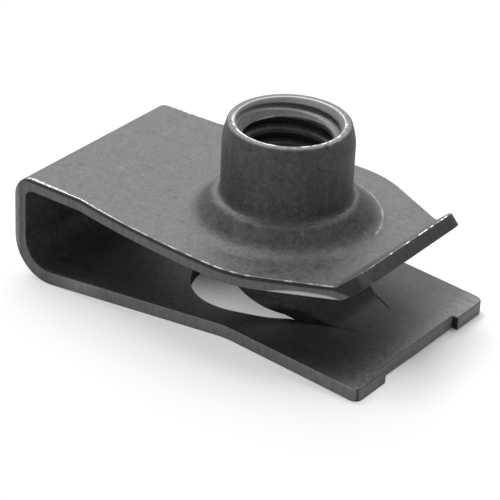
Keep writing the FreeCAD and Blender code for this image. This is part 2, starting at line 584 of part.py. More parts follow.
def draw_tongue_section(body):
    """Side view of the lanced tongue: flush at its root, bent up, straight, then curled to its tip."""
    outline = Outline(body, "tongue_section", "XZ_Plane")
    bend = size["tongue_bend_radius"]
    curl = size["tongue_curl_radius"]
    lift = math.radians(size["tongue_angle"])
    steep = math.radians(size["tongue_tip_angle"])
    fall_side = 270.0 - size["fall_angle"]
    lift_side = 270.0 - size["tongue_angle"]
    steep_side = 270.0 - size["tongue_tip_angle"]
    anchor = size["tongue_root_x"] + size["tongue_anchor"]
    bend_over = (size["tongue_bend_x"], upper_side_of_fall(size["tongue_bend_x"]))
    centre = polar(bend_over, bend, fall_side - 180.0)
    over_start = polar(centre, bend, lift_side)
    curl_run = over_start[0] - size["tongue_curl_x"]
    curl_over_start = (size["tongue_curl_x"], over_start[1] + curl_run * math.tan(lift))
    curl_centre = polar(curl_over_start, curl, lift_side - 180.0)
    curl_over_end = polar(curl_centre, curl, steep_side)
    curl_under_end = polar(curl_centre, curl + thickness, steep_side)
    tip_run = (curl_over_end[0] + size["tongue_tip_x"] + margin) / math.cos(steep)
    tip_heading = 180.0 - size["tongue_tip_angle"]
    over_tip = polar(curl_over_end, tip_run, tip_heading)
    under_tip = polar(curl_under_end, tip_run, tip_heading)
    anchor_over = (anchor, upper_side_of_fall(anchor))
    anchor_under = polar(anchor_over, thickness, fall_side)

    # Upper side from the root to the tip, then the underside back again
    over = outline.line(anchor_over, bend_over)
    over_arc = outline.arc(centre, bend, fall_side, lift_side)
    lifted_over = outline.line(over_start, curl_over_start)
    curl_over = outline.arc(curl_centre, curl, lift_side, steep_side)
    tip_over = outline.line(curl_over_end, over_tip)
    tip = outline.line(over_tip, under_tip)
    tip_under = outline.line(under_tip, curl_under_end)
    curl_under = outline.arc(curl_centre, curl + thickness, steep_side, lift_side)
    lifted_under = outline.line(polar(curl_centre, curl + thickness, lift_side),
                                polar(centre, bend + thickness, lift_side))
    under_arc = outline.arc(centre, bend + thickness, lift_side, fall_side)
    under = outline.line(polar(centre, bend + thickness, fall_side), anchor_under)
    end = outline.line(anchor_under, anchor_over)
    corners = {4, 5, 10, 11}
    outline.join(smooth=set(range(12)) - corners)

    outline.constrain("Coincident", over_arc, 3, under_arc, 3)
    outline.constrain("Coincident", curl_over, 3, curl_under, 3)
    outline.radius(over_arc, "bend", "Sizes.tongue_bend_radius")
    outline.radius(under_arc, "bend_outside", "Sizes.tongue_bend_radius + Sizes.sheet_thickness")
    outline.radius(curl_over, "curl", "Sizes.tongue_curl_radius")
    outline.radius(curl_under, "curl_outside", "Sizes.tongue_curl_radius + Sizes.sheet_thickness")
    outline.constrain("Perpendicular", end, over)
    outline.constrain("Perpendicular", tip, tip_over)
    outline.constrain("Parallel", over, under)
    outline.constrain("Parallel", tip_over, tip_under)
    outline.slope(over, "fall", "180 - Sizes.fall_angle", 180.0 - size["fall_angle"])
    outline.slope(lifted_over, "lift", "180 - Sizes.tongue_angle", 180.0 - size["tongue_angle"])
    outline.slope(tip_over, "tip_slope", "180 - Sizes.tongue_tip_angle", tip_heading)
    outline.along("X", over, 2, "bend_place", "Sizes.tongue_bend_x")
    drop = "Sizes.throat_gap + tan(Sizes.fall_angle) * (Sizes.tongue_bend_x - Sizes.pinch_x)"
    outline.along("Y", over, 2, "bend_height", drop)
    outline.along("X", over, 1, "anchor_place", "Sizes.tongue_root_x + Sizes.tongue_anchor")
    outline.along("X", lifted_over, 2, "curl_place", "Sizes.tongue_curl_x")
    outline.along("X", tip, 1, "tip_place", "Sizes.tongue_tip_x + Sizes.trim_margin")
    return outline


def draw_tongue_outline(body):
    """Plan of the tongue: a neck at the root that opens into a fork round the screw."""
    outline = Outline(body, "tongue_outline", "XY_Plane")
    draw_frame(outline)
    gap = size["tongue_clearance"]
    root = size["tongue_root_x"]
    past = root + size["tongue_anchor"] + margin
    outer = size["window_radius"] - gap
    inner = size["screw_clearance_radius"]
    neck = size["tongue_root_width"] / 2 - gap
    tip = -size["tongue_tip_x"]
    centre = (-size["window_x"], 0.0)
    axis = (0.0, 0.0)
    corner = side_corner(centre, outer, neck)
    turn = direction(centre, corner)
    outer_tip = math.degrees(math.acos((tip - centre[0]) / outer))
    inner_tip = math.degrees(math.acos(tip / inner))
    first = len(outline.edges)
    far_anchor = outline.line((past, neck), (root, neck))
    far_side = outline.line((root, neck), corner)
    far_outer = outline.arc(centre, outer, turn, outer_tip)
    far_tip = outline.line(polar(centre, outer, outer_tip), polar(axis, inner, inner_tip))
    screw_side = outline.arc(axis, inner, inner_tip, -inner_tip)
    near_tip = outline.line(polar(axis, inner, -inner_tip), polar(centre, outer, -outer_tip))
    near_outer = outline.arc(centre, outer, -outer_tip, -turn)
    near_side = outline.line((corner[0], -corner[1]), (root, -neck))
    near_anchor = outline.line((root, -neck), (past, -neck))
    end = outline.line((past, -neck), (past, neck))
    outline.join(first_edge=first)
    for index in (far_anchor, near_anchor):
        outline.constrain("Horizontal", index)
    for index in (far_tip, near_tip, end):
        outline.constrain("Vertical", index)
    outline.constrain("Coincident", screw_side, 3, -1, 1)
    outline.constrain("Coincident", far_outer, 3, near_outer, 3)
    outline.constrain("PointOnObject", far_outer, 3, -1)
    outline.along("X", far_outer, 3, "round_place", "Sizes.window_x")
    outline.radius(far_outer, "far_outer", "Sizes.window_radius - Sizes.tongue_clearance")
    outline.radius(near_outer, "near_outer", "Sizes.window_radius - Sizes.tongue_clearance")
    outline.radius(screw_side, "screw_side", "Sizes.screw_clearance_radius")
    side_angle = size["window_side_angle"]
    outline.slope(far_side, "far_side", "180 - Sizes.window_side_angle", 180.0 - side_angle)
    outline.slope(near_side, "near_side", "Sizes.window_side_angle", side_angle)
    neck_expression = "Sizes.tongue_root_width / 2 - Sizes.tongue_clearance"
    outline.along("Y", far_anchor, 1, "far_neck", neck_expression)
    outline.along("Y", near_anchor, 1, "near_neck", neck_expression)
    outline.along("X", far_side, 1, "far_root", "Sizes.tongue_root_x")
    outline.along("X", near_anchor, 1, "near_root", "Sizes.tongue_root_x")
    outline.along("X", end, 1, "past_root",
                  "Sizes.tongue_root_x + Sizes.tongue_anchor + Sizes.trim_margin")
    outline.along("X", far_tip, 1, "far_tip", "Sizes.tongue_tip_x")
    outline.along("X", near_tip, 1, "near_tip", "Sizes.tongue_tip_x")
    return outline


def edges_where(shape, test):
    """Names of the edges whose middle point passes the test."""
    names = []
    for number, edge in enumerate(shape.Edges, start=1):
        middle = edge.valueAt((edge.FirstParameter + edge.LastParameter) / 2)
        if test(edge, middle):
            names.append(f"Edge{number}")
    return names


def add_fillet(body, base, names, name, expression):
    """Round the named edges of the feature that was built last."""
    if not names:
        raise RuntimeError(f"{name}: no edge was found")
    fillet = body.newObject("PartDesign::Fillet", name)
    fillet.Base = (base, names)
    fillet.setExpression("Radius", expression)
    return fillet


# The folded strip with its outline, window, dome, barrel and bore

def is_ring(edge, radius, height):
    """True for a circle about the thread axis with this radius and height."""
    curve = edge.Curve
    if not isinstance(curve, Part.Circle):
        return False
    on_axis = math.hypot(curve.Center.x, curve.Center.y) < CLOSE
    return on_axis and abs(curve.Radius - radius) < CLOSE and abs(curve.Center.z - height) < CLOSE


def is_upright(edge):
    """True for a straight edge that runs along Z."""
    start = edge.Vertexes[0].Point
    end = edge.Vertexes[-1].Point
    return math.hypot(end.x - start.x, end.y - start.y) < CLOSE < abs(end.z - start.z)


strip = doc.addObject("PartDesign::Body", "folded_strip")
add_pad(strip, draw_folded_section(strip), "folded_sheet", "Sizes.leaf_width + 2 * Sizes.trim_margin")
add_pocket(strip, draw_upper_outline(strip), "upper_leaf_trim", UPWARDS)
add_pocket(strip, draw_lower_outline(strip), "lower_leaf_trim", DOWNWARDS)
window = add_pocket(strip, draw_window(strip), "window", DOWNWARDS)
doc.recompute()

lip_tip_x = size["lip_start"] + size["lip_radius"]
lip_corners = edges_where(
    window.Shape,
    lambda edge, middle: middle.x > lip_tip_x and abs(edge.Length - thickness) < CLOSE
    and abs(abs(middle.y) - size["lip_width"] / 2) < CLOSE)
lip = add_fillet(strip, window, lip_corners, "lip_corners", "Sizes.lip_corner")
barrel = add_turned(strip, "PartDesign::Revolution", draw_barrel_outside(strip), "dome_and_barrel")
doc.recompute()

dome_side = math.radians(size["dome_side_angle"])
crown_height = thickness + size["dome_height"]
crown_radius = size["dome_foot_radius"] - size["dome_height"] / math.tan(dome_side)
rim_height = thickness + size["barrel_height"]
foot_ring = edges_where(
    barrel.Shape, lambda edge, middle: is_ring(edge, size["dome_foot_radius"], thickness))
foot = add_fillet(strip, barrel, foot_ring, "dome_foot_round", "Sizes.dome_foot_blend")
doc.recompute()
shoulder_ring = edges_where(
    foot.Shape, lambda edge, middle: is_ring(edge, crown_radius, crown_height))
dome = add_fillet(strip, foot, shoulder_ring, "dome_shoulder_round", "Sizes.dome_shoulder_round")
doc.recompute()
barrel_ring = edges_where(
    dome.Shape, lambda edge, middle: is_ring(edge, size["barrel_radius"], crown_height))
neck = add_fillet(strip, dome, barrel_ring, "barrel_foot_round", "Sizes.barrel_foot_blend")
doc.recompute()
rim_ring = edges_where(neck.Shape, lambda edge, middle: is_ring(edge, size["rim_radius"], rim_height))
rim = add_fillet(strip, neck, rim_ring, "rim_round", "Sizes.rim_round")
bore = add_turned(strip, "PartDesign::Groove", draw_barrel_inside(strip), "hollow_and_bore")

# The tongue is a piece of the same strip, lanced on three sides and lifted

tongue = doc.addObject("PartDesign::Body", "lanced_tongue")
add_pad(tongue, draw_tongue_section(tongue), "tongue_sheet", "Sizes.strip_width")
fork = add_pocket(tongue, draw_tongue_outline(tongue), "tongue_trim", BOTH_WAYS)
doc.recompute()
horn_corners = edges_where(
    fork.Shape,
    lambda edge, middle: abs(middle.x + size["tongue_tip_x"]) < CLOSE and is_upright(edge))
add_fillet(tongue, fork, horn_corners, "horn_corners", "Sizes.tongue_tip_round")

clip = doc.addObject("Part::Fuse", NODE)
clip.Base = strip
clip.Tool = tongue
clip.Refine = True
clip.Label = NODE
doc.recompute()

# Every object has to be sound before anything is written

for item in doc.Objects:
    if "Invalid" in item.State or "Error" in item.State:
        raise RuntimeError(f"{item.Name} failed: {item.State}")
shape = clip.Shape
if shape.isNull() or not shape.isValid():
    raise RuntimeError("the clip's shape is not valid")
if len(shape.Solids) != 1:
    raise RuntimeError(f"the clip should be one solid, not {len(shape.Solids)}")
if bore.Shape.Volume >= rim.Shape.Volume:
    raise RuntimeError("the bore has cut nothing")

os.makedirs("parts", exist_ok=True)
shape.exportStep(f"parts/{NODE}.step")
box = shape.optimalBoundingBox(False, False)
print(f"{NODE}: {shape.Volume:.1f} mm3, {len(shape.Faces)} faces")
print(f"X {box.XMin:.2f} to {box.XMax:.2f}")
print(f"Y {box.YMin:.2f} to {box.YMax:.2f}")
print(f"Z {box.ZMin:.2f} to {box.ZMax:.2f}")
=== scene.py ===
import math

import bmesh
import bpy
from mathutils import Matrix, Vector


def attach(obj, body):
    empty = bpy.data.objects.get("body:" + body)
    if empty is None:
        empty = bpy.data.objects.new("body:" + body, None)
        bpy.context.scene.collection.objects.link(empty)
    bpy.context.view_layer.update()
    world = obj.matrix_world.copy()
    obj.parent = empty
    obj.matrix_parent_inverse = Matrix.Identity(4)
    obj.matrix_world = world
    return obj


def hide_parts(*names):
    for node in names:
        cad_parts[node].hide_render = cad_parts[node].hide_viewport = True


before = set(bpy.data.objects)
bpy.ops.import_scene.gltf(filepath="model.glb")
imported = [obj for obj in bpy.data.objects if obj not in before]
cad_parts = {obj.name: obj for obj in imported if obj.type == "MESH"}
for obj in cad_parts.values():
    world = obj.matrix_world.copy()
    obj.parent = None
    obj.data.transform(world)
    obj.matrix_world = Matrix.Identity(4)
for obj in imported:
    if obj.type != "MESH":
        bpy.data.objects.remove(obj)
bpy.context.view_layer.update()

# %% [markdown]
# A U clip speed nut, dressed for its photograph. The real one is a single strip of spring steel, folded
# so that it slips over the edge of a panel, with a threaded barrel drawn up out of its upper leaf. The
# packed solid already has the exact strip, so the scene starts from it and adds what a solid leaves out:
# broken edges, evenly turned rings, the thread, a dark phosphate finish, a pale studio, and the camera
# that was fitted to the photograph.

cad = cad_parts["u_clip"]
MM = 0.001

# %% [markdown]
# The thread and the steel are both formulas made of nodes. They could be wired link by link, but a reader
# would then have to guess the formula from the links. One small class wraps a node's socket instead, so
# that a sum or a mask is written with plain operators, and one method makes any other node from its type,
# settings and inputs.

# %% Sockets that take part in sums


class Tree:
    """A node tree with one method that makes any node and connects its inputs."""

    def __init__(self, tree):
        self.tree = tree

    def node(self, kind, inputs=None, output=0, **settings):
        made = self.tree.nodes.new(kind)
        for name, value in settings.items():
            setattr(made, name, value)
        for key, value in (inputs or {}).items():
            self.connect(value, made.inputs[key])
        return Socket(self, made.outputs[output]) if made.outputs else made

    def connect(self, value, target):
        if isinstance(value, Socket):
            self.tree.links.new(value.socket, target)
        else:
            target.default_value = value

    def math(self, operation, *values, clamp=False):
        inputs = dict(enumerate(values))
        return self.node("ShaderNodeMath", inputs, operation=operation, use_clamp=clamp)


class Socket:
    """An output socket that takes part in sums; a number may stand on either side."""

    def __init__(self, tree, socket):
        self.tree = tree
        self.socket = socket

    def of(self, name):
        """Another output of the same node."""
        return Socket(self.tree, self.socket.node.outputs[name])

    def __add__(self, other):
        return self.tree.math("ADD", self, other)

    def __radd__(self, other):
        return self.tree.math("ADD", other, self)

    def __sub__(self, other):
        return self.tree.math("SUBTRACT", self, other)

    def __rsub__(self, other):
        return self.tree.math("SUBTRACT", other, self)

    def __mul__(self, other):
        return self.tree.math("MULTIPLY", self, other)

    def __rmul__(self, other):
        return self.tree.math("MULTIPLY", other, self)

    def __truediv__(self, other):
        return self.tree.math("DIVIDE", self, other)

    def __rtruediv__(self, other):
        return self.tree.math("DIVIDE", other, self)

    def __pow__(self, other):
        return self.tree.math("POWER", self, other)

    def __rpow__(self, other):
        return self.tree.math("POWER", other, self)

    def unit(self):
        """The value held between 0 and 1."""
        return self.tree.math("ADD", self, 0.0, clamp=True)

    def ramp(self, low, high):
        """0 below low, 1 above high and straight in between."""
        return ((self - low) / (high - low)).unit()

    def soft(self, low, high):
        """0 below low, 1 above high and smooth in between."""
        share = self.ramp(low, high)
        return share * share * (3.0 - 2.0 * share)


print("a socket can also be asked for", [name for name in vars(Socket) if not name.startswith("_")])

# %% [markdown]
# The bore of the real clip carries a thread, taken as M8 x 1.25, with a flared mouth above and a lead-in
# below. A screw modifier could sweep its groove, but its ends would have to be cut to the cones. The wall
# follows a rule instead: each of its points stands off the axis by the larger of the groove's radius and
# the radius of the plain bore with its flare and its cone. The crest takes a bit over a fifth of the
# pitch and the root a tenth, and the flanks between them are rounded, at about 60 degrees to each other.

# %% Sizes of the thread
AROUND = 144
ROWS = 132
CREST_SHARE = 0.22
ROOT_SHARE = 0.10
FLARE_POWER = 0.7
WHOLE_TURNS = 8.0  # keeps the phase of the groove above zero
THREAD = {
    "Pitch": 1.25 * MM,
    "Crest radius": 3.325 * MM,
    "Groove depth": 0.676 * MM,
    "Bottom": 1.91 * MM,
    "Lead-in end": 2.65 * MM,
    "Lead-in radius": 4.227 * MM,
    "Mouth start": 7.50 * MM,
    "Top": 8.74 * MM,
    "Mouth radius": 4.084 * MM,
    "Turn": 0.82,
}
print("full turns", round((THREAD["Mouth start"] - THREAD["Lead-in end"]) / THREAD["Pitch"], 1))

# %% [markdown]
# Geometry Nodes suit a surface that follows a rule. The tree starts from an open tube of even rows and
# moves each of its points to the radius that the rule gives for its height and its angle. Every size is a
# named input, so another pitch or depth is a matter of one number.

# %% Tree of the thread


def thread_tree(material):
    group = bpy.data.node_groups.new("thread_surface", "GeometryNodeTree")
    group.is_modifier = True
    interface = group.interface
    interface.new_socket("Geometry", in_out="OUTPUT", socket_type="NodeSocketGeometry")
    for name in THREAD:
        interface.new_socket(name, in_out="INPUT", socket_type="NodeSocketFloat")
    tree = Tree(group)
    given = tree.node("NodeGroupInput")
    pitch, crest, depth = given.of("Pitch"), given.of("Crest radius"), given.of("Groove depth")
    bottom, top = given.of("Bottom"), given.of("Top")
    tube = tree.node("GeometryNodeMeshCylinder", {
        "Vertices": AROUND, "Side Segments": ROWS, "Radius": 1.0, "Depth": top - bottom,
    }, fill_type="NONE")
    place = tree.node("ShaderNodeSeparateXYZ", {0: tree.node("GeometryNodeInputPosition")})
    angle = tree.math("ARCTAN2", place.of("Y"), place.of("X"))
    height = place.of("Z") + (top + bottom) / 2.0
    phase = tree.math("FRACT", height / pitch - angle / math.tau + given.of("Turn") + WHOLE_TURNS)
    ridge = tree.math("ABSOLUTE", phase * 2.0 - 1.0)
    groove = crest + depth * ridge.soft(CREST_SHARE, 1.0 - ROOT_SHARE)
    mouth = given.of("Mouth start")
    flare = ((height - mouth) / (top - mouth)).unit() ** FLARE_POWER
    countersink = (given.of("Mouth radius") - crest) * flare
    lead_end = given.of("Lead-in end")
    lead_in = (given.of("Lead-in radius") - crest) * ((lead_end - height) / (lead_end - bottom)).unit()
    radius = tree.math("MAXIMUM", groove, crest + countersink + lead_in)
    moved = tree.node("ShaderNodeCombineXYZ", {
        "X": tree.math("COSINE", angle) * radius,
        "Y": tree.math("SINE", angle) * radius,
        "Z": height,
    })
    shaped = tree.node("GeometryNodeSetPosition", {"Geometry": tube, "Position": moved})
    real = tree.node("GeometryNodeRealizeInstances", {"Geometry": shaped})
    dressed = tree.node("GeometryNodeSetMaterial", {"Geometry": real, "Material": material})
    tree.node("NodeGroupOutput", {"Geometry": dressed})
    print("nodes in the thread's tree", len(group.nodes))
    return group


# %% [markdown]
# The modifier's inputs are set by the identifiers of their sockets. The evaluated object is then turned
# into a plain mesh, and the modifier and its carrier go, because the thread becomes one surface with the
# barrel.

# %% The thread as a plain mesh


def grow_thread(material):
    carrier = bpy.data.objects.new("thread_carrier", bpy.data.meshes.new("thread_carrier"))
    bpy.context.collection.objects.link(carrier)
    modifier = carrier.modifiers.new("thread", "NODES")
    modifier.node_group = thread_tree(material)
    for item in modifier.node_group.interface.items_tree:
        if item.in_out == "INPUT":
            modifier[item.identifier] = THREAD[item.name]
    bpy.context.view_layer.update()
    graph = bpy.context.evaluated_depsgraph_get()
    mesh = bpy.data.meshes.new_from_object(carrier.evaluated_get(graph))
    carrier.modifiers.remove(modifier)
    bpy.data.objects.remove(carrier)
    return mesh


steel = bpy.data.materials.new("phosphated_steel")
thread_mesh = grow_thread(steel)
print("thread", len(thread_mesh.vertices), "points,", len(thread_mesh.polygons), "faces")

# %% [markdown]
# The strip of the real clip is sheared, pierced, lanced and folded from one sheet. Its leaves could be
# modelled again, but the packed solid has them at their exact sizes, so its mesh is copied. Such a mesh
# is loose triangles: points that share a place are merged first, and flat triangles are joined. The faces
# of the dome, the barrel and the bore are taken out, because uneven triangles shade badly on round walls.
# They are turned again below.

# %% Folded strip from the packed solid
FOOT_RING = 8.026 * MM
CLOSE = 0.001 * MM
FLAT = math.radians(0.3)


def from_axis(point):
    return math.hypot(point.x, point.y)


shape = bmesh.new()
shape.from_mesh(cad.data)
bmesh.ops.remove_doubles(shape, verts=shape.verts, dist=0.1 * CLOSE)
turned = [
    face for face in shape.faces
    if all(from_axis(v.co) < FOOT_RING + CLOSE and v.co.z > -CLOSE for v in face.verts)
]
bmesh.ops.delete(shape, geom=turned, context="FACES")
bmesh.ops.dissolve_limit(shape, angle_limit=FLAT, verts=shape.verts, edges=shape.edges, delimit={"NORMAL"})
print("strip", len(shape.verts), "points,", len(shape.faces), "faces")

# %% [markdown]
# No edge of a real sheet is knife sharp, and it is the small roundings that catch the light. The material
# could fake them, but the outline would stay sharp, so the edges are bevelled in the mesh. The narrow
# shear gap at the tongue's root is left as it is, because there is no room for a rounding in it.

# %% Broken edges
EDGE_ROUND = 0.10
SHARP = math.radians(30)
GAP_END = Vector((8.5, 2.15)) * MM
GAP_ROOM = Vector((0.35, 0.25)) * MM


def in_shear_gap(edge):
    return any(abs(v.co.x - GAP_END.x) < GAP_ROOM.x and abs(abs(v.co.y) - GAP_END.y) < GAP_ROOM.y
               for v in edge.verts)


broken = [
    edge for edge in shape.edges
    if len(edge.link_faces) == 2 and edge.calc_face_angle() > SHARP and not in_shear_gap(edge)
]
bmesh.ops.bevel(shape, geom=broken, offset=EDGE_ROUND * MM, offset_type="OFFSET", segments=3, profile=0.5,
                affect="EDGES", clamp_overlap=False, loop_slide=True)
print("broke", len(broken), "edges; the strip has", len(shape.faces), "faces")

# %% [markdown]
# A round punch draws the dome and the barrel of the real clip, so every section across them is a circle.
# The outline of each is a short profile of straight runs and arcs, written as a distance from the
# thread's axis and a height, in millimetres. That keeps every rounding a real radius.

# %% Arcs and straight runs


def arc(centre, radius, first, last, steps):
    """Points of an arc, from angle first to angle last in degrees."""
    angles = [math.radians(first + (last - first) * i / steps) for i in range(steps + 1)]
    return [(centre[0] + radius * math.cos(a), centre[1] + radius * math.sin(a)) for a in angles]


def run(start, end, steps):
    """Points between two ends, without the ends."""
    return [(start[0] + (end[0] - start[0]) * i / steps, start[1] + (end[1] - start[1]) * i / steps)
            for i in range(1, steps)]


quarter = arc((0.0, 0.0), 1.0, 0.0, 90.0, 2)
print("a quarter arc in two steps", [(round(radius, 2), round(height, 2)) for radius, height in quarter])

# %% Outside of the dome and barrel
SHEET = 1.1
FOOT_ROUND = 2.2
SHOULDER = (4.998, 1.93)
SHOULDER_ROUND = 1.0
BARREL_RADIUS = 4.98
BARREL_FOOT = 3.277
BARREL_FOOT_ROUND = 0.4
TAPER_START = 7.1
TAPER_DEPTH = 0.28
TAPER_POWER = 1.7
TAPER_STEPS = 8
BARREL_TOP = 8.8
RIM_ROUND = 0.25


def outside_profile():
    """From the foot of the dome up to the edge of the mouth."""
    foot = arc((FOOT_RING / MM, SHEET + FOOT_ROUND), FOOT_ROUND, -91.0, -140.0, 14)
    shoulder = arc(SHOULDER, SHOULDER_ROUND, 40.0, 74.2, 8)
    foot_centre = (BARREL_RADIUS + BARREL_FOOT_ROUND, BARREL_FOOT)
    barrel_foot = arc(foot_centre, BARREL_FOOT_ROUND, -107.0, -180.0, 8)
    wall_top = (BARREL_RADIUS, TAPER_START)
    rim_centre = (BARREL_RADIUS - TAPER_DEPTH - RIM_ROUND, BARREL_TOP - RIM_ROUND)
    shares = [i / TAPER_STEPS for i in range(TAPER_STEPS + 1)]
    taper = [(BARREL_RADIUS - TAPER_DEPTH * share ** TAPER_POWER,
              TAPER_START + (rim_centre[1] - TAPER_START) * share) for share in shares]
    rim = arc(rim_centre, RIM_ROUND, 6.0, 90.0, 6)
    edge_of_mouth = [(4.33, BARREL_TOP), (4.21, BARREL_TOP), (4.16, 8.79), (4.11, 8.765)]
    return (foot + run(foot[-1], shoulder[0], 4) + shoulder + barrel_foot
            + run(barrel_foot[-1], wall_top, 8) + taper + rim + edge_of_mouth)


print("outside profile", len(outside_profile()), "points")

# %% Inside of the hollow under the dome
CEILING = 1.85
CEILING_CORNER = 4.772
CEILING_ROUND = 0.35
HOLLOW_EDGE = 6.534


def inside_profile():
    """From the thread's lead-in across the ceiling and down to the leaf's underside."""
    ceiling = [(4.25, 1.875), (4.29, 1.855), (4.34, CEILING)]
    corner = arc((CEILING_CORNER, CEILING - CEILING_ROUND), CEILING_ROUND, 90.0, 40.0, 5)
    mouth = arc((HOLLOW_EDGE, EDGE_ROUND), EDGE_ROUND, 220.0, 268.0, 3)
    return ceiling + run(ceiling[-1], corner[0], 3) + corner + run(corner[-1], mouth[0], 5) + mouth


print("inside profile", len(inside_profile()), "points")

# %% [markdown]
# A spin or a screw modifier could turn the profiles. Here a short function lays the rings itself, because
# each ring then has as many points as the thread, in the same places, and the surfaces can be joined
# point to point.

# %% Turned rings


def turn(bm, profile):
    """Rings of quads about the thread axis; returns the first and the last ring."""
    rings = []
    for radius, height in profile:
        ring = []
        for i in range(AROUND):
            angle = math.tau * i / AROUND
            place = Vector((radius * math.cos(angle), radius * math.sin(angle), height)) * MM
            ring.append(bm.verts.new(place))
        rings.append(ring)
    for low, high in zip(rings, rings[1:]):
        for i in range(AROUND):
            j = (i + 1) % AROUND
            bm.faces.new((low[i], low[j], high[j], high[i]))
    return rings[0], rings[-1]


def ring_edges(ring):
    found = []
    for first, second in zip(ring, ring[1:] + ring[:1]):
        for edge in first.link_edges:
            if edge.other_vert(first) is second:
                found.append(edge)
    return found


def open_ring(bm, radius, height):
    """Open edges of the strip on one circle about the thread axis."""
    return [edge for edge in bm.edges if len(edge.link_faces) == 1
            and all(abs(from_axis(v.co) - radius) < 10 * CLOSE and abs(v.co.z - height) < 10 * CLOSE
                    for v in edge.verts)]


print("points round each ring", AROUND)

# %% [markdown]
# The strip now has two round holes, one on each side of the sheet. The lower one is widened a little, so
# that the hollow's edge can be broken like every other one. Then the turned walls are bridged to the
# strip.

# %% Join the turned walls to the strip
HOLLOW_RING = 6.487 * MM
WIDENED_RING = (HOLLOW_EDGE + 0.02) * MM

for vertex in {v for edge in open_ring(shape, HOLLOW_RING, 0.0) for v in edge.verts}:
    vertex.co.xy *= WIDENED_RING / from_axis(vertex.co)
strip_top = open_ring(shape, FOOT_RING, SHEET * MM)
strip_bottom = open_ring(shape, WIDENED_RING, 0.0)
print("rings of the strip", len(strip_top), len(strip_bottom))

foot_ring, rim_ring = turn(shape, outside_profile())
ceiling_ring, hollow_ring = turn(shape, inside_profile())
bmesh.ops.bridge_loops(shape, edges=strip_top + ring_edges(foot_ring))
bmesh.ops.bridge_loops(shape, edges=strip_bottom + ring_edges(hollow_ring))
print("strip with dome and barrel", len(shape.faces), "faces")

# %% [markdown]
# The real thread is the inside of the same wall, so its mesh isn't left as a piece of its own. Its top
# ring is stitched to the edge of the mouth and its bottom ring to the ceiling of the hollow. The clip is
# then one closed skin, which shows in the count of its open edges: none.

# %% Join the thread to the barrel
known = set(shape.verts)
shape.from_mesh(thread_mesh)
wall = [v for v in shape.verts if v not in known]
top_height = max(v.co.z for v in wall)
low_height = min(v.co.z for v in wall)
top_ring = [v for v in wall if abs(v.co.z - top_height) < CLOSE]
low_ring = [v for v in wall if abs(v.co.z - low_height) < CLOSE]


def by_angle(ring):
    return sorted(ring, key=lambda v: math.atan2(v.co.y, v.co.x) % math.tau)


def stitch(bm, first, second):
    first, second = by_angle(first), by_angle(second)
    for i in range(AROUND):
        j = (i + 1) % AROUND
        bm.faces.new((first[i], first[j], second[j], second[i]))


stitch(shape, top_ring, rim_ring)
stitch(shape, low_ring, ceiling_ring)
bmesh.ops.recalc_face_normals(shape, faces=shape.faces)
loose = sum(1 for edge in shape.edges if len(edge.link_faces) != 2)
print("clip", len(shape.faces), "faces, open edges", loose)

# %% [markdown]
# Sheet metal looks right when its flat faces stay flat and only the roundings turn the light. Plain
# smooth shading would bend the light over the flats too, so the normals are weighted by the size of the
# faces. Corners over 38 degrees stay sharp.

# %% The clip as an object
SHARP_CORNER = math.radians(38)

clip_mesh = bpy.data.meshes.new("clip")
shape.to_mesh(clip_mesh)
shape.free()
clip_mesh.materials.clear()
clip_mesh.materials.append(steel)
clip_mesh.polygons.foreach_set("material_index", [0] * len(clip_mesh.polygons))
clip_mesh.polygons.foreach_set("use_smooth", [True] * len(clip_mesh.polygons))
clip_mesh.set_sharp_from_angle(angle=SHARP_CORNER)
clip = bpy.data.objects.new("clip", clip_mesh)
bpy.context.collection.objects.link(clip)


def weigh_normals(piece):
    """Flat faces keep their own normal, and the small roundings between them take the turn."""
    modifier = piece.modifiers.new("weights", "WEIGHTED_NORMAL")
    modifier.keep_sharp = True
    graph = bpy.context.evaluated_depsgraph_get()
    mesh = bpy.data.meshes.new_from_object(piece.evaluated_get(graph))
    piece.modifiers.remove(modifier)
    piece.data = mesh


weigh_normals(clip)
print("triangles", sum(len(face.vertices) - 2 for face in clip.data.polygons))

# %% [markdown]
# The real clip has a dark grey phosphate coat, barer metal where the press sheared it, and bright spots
# where the coat is rubbed off. An image wrapped round it could show that, but it would need a map of the
# faces and would blur close up. So one material reads where each point lies and which way it faces, in
# the part's own frame. From those a set of masks is made, each from 0 to 1, and they tell the surfaces
# apart. Many of the masks also paint light, shade and highlights into the colour, and some of the bright
# spots are painted highlights.

# %% Steel: place and direction of each point
steel.use_nodes = True
steel.node_tree.nodes.clear()
look = Tree(steel.node_tree)
place = look.node("ShaderNodeTexCoord", output="Object")
facing = look.node("ShaderNodeSeparateXYZ", {0: place.of("Normal")})
spot = look.node("ShaderNodeSeparateXYZ", {0: place})
x, y, z = (spot.of(axis) / MM for axis in "XYZ")
nx, ny, nz = (facing.of(axis) for axis in "XYZ")
radial = look.math("SQRT", x * x + y * y)


def size_of(value):
    return look.math("ABSOLUTE", value)


def larger(*values):
    result = values[0]
    for value in values[1:]:
        result = look.math("MAXIMUM", result, value)
    return result


def blend(factor, low, high):
    """Plain numbers or sockets blended by a factor."""
    return low + (high - low) * factor


print("nodes for place and direction", len(steel.node_tree.nodes))

# %% [markdown]
# A sheared face is torn, not rolled, so it takes the coat in its own way. These faces are the long sides
# of the strip, the end of the lip, the free end of the lower leaf, and the sides of the window and the
# tongue. Each is told by its direction and by where it lies, in millimetres.

# %% Steel: the sheared faces
LIP_RUN, LIP_RISE = 0.731, 0.682  # cosine and sine of the lip's slope

